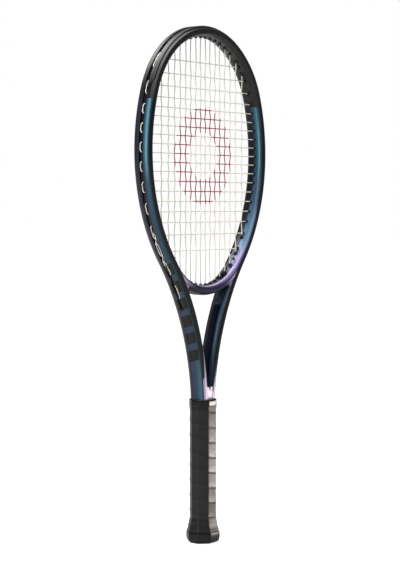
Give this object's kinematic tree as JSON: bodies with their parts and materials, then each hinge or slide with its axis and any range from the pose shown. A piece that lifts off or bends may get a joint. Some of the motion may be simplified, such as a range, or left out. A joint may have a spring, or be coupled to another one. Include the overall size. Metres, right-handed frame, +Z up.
{
  "type": "tennis racket",
  "caption": "Adult tennis racket with an oval strung head, forked throat, wrapped octagonal handle and a butt cap with a push-in cover.",
  "frame": {"origin": "centre of the butt's flat end, where the racket stands", "axes": "+Z up the handle to the tip of the head, X across the head, Y square to the string bed with the front face at -Y"},
  "size_m": [0.2646, 0.0408, 0.6857],
  "materials": {
    "frame_lacquer": "gloss colour-shift lacquer over carbon composite",
    "nylon_black": "matt black nylon",
    "string_cream": "satin multifilament string",
    "grip_black": "satin synthetic leather, lightly embossed",
    "rubber_black": "satin moulded rubber",
    "cap_plastic": "semi-gloss moulded plastic",
    "pallet_foam": "moulded rigid foam",
    "steel": "bright wire"
  },
  "bodies": {
    "racket": {"frame_hairpin": "frame_lacquer", "throat_bridge": "frame_lacquer", "shaft_web": "frame_lacquer", "bumper_guard": "nylon_black", "side_grommets_left": "nylon_black", "side_grommets_right": "nylon_black", "bridge_grommets": "nylon_black", "main_string": "string_cream", "cross_string": "string_cream", "main_string_knots": "string_cream", "cross_string_knots": "string_cream", "handle_pallet": "pallet_foam", "butt_cap": "cap_plastic", "butt_cap_staples": "steel", "grip_tack": "steel", "grip_tape": "grip_black", "finishing_tape": "cap_plastic", "grip_collar": "rubber_black", "leg_plug_left": "pallet_foam", "leg_plug_right": "pallet_foam"},
    "door": {"trap_door": "cap_plastic"}
  },
  "joints": [
    {"name": "trap_door_pull", "type": "slide", "parent": "racket", "child": "door", "axis": [0, 0, -1], "range_m": [0, 0.012]}
  ]
}
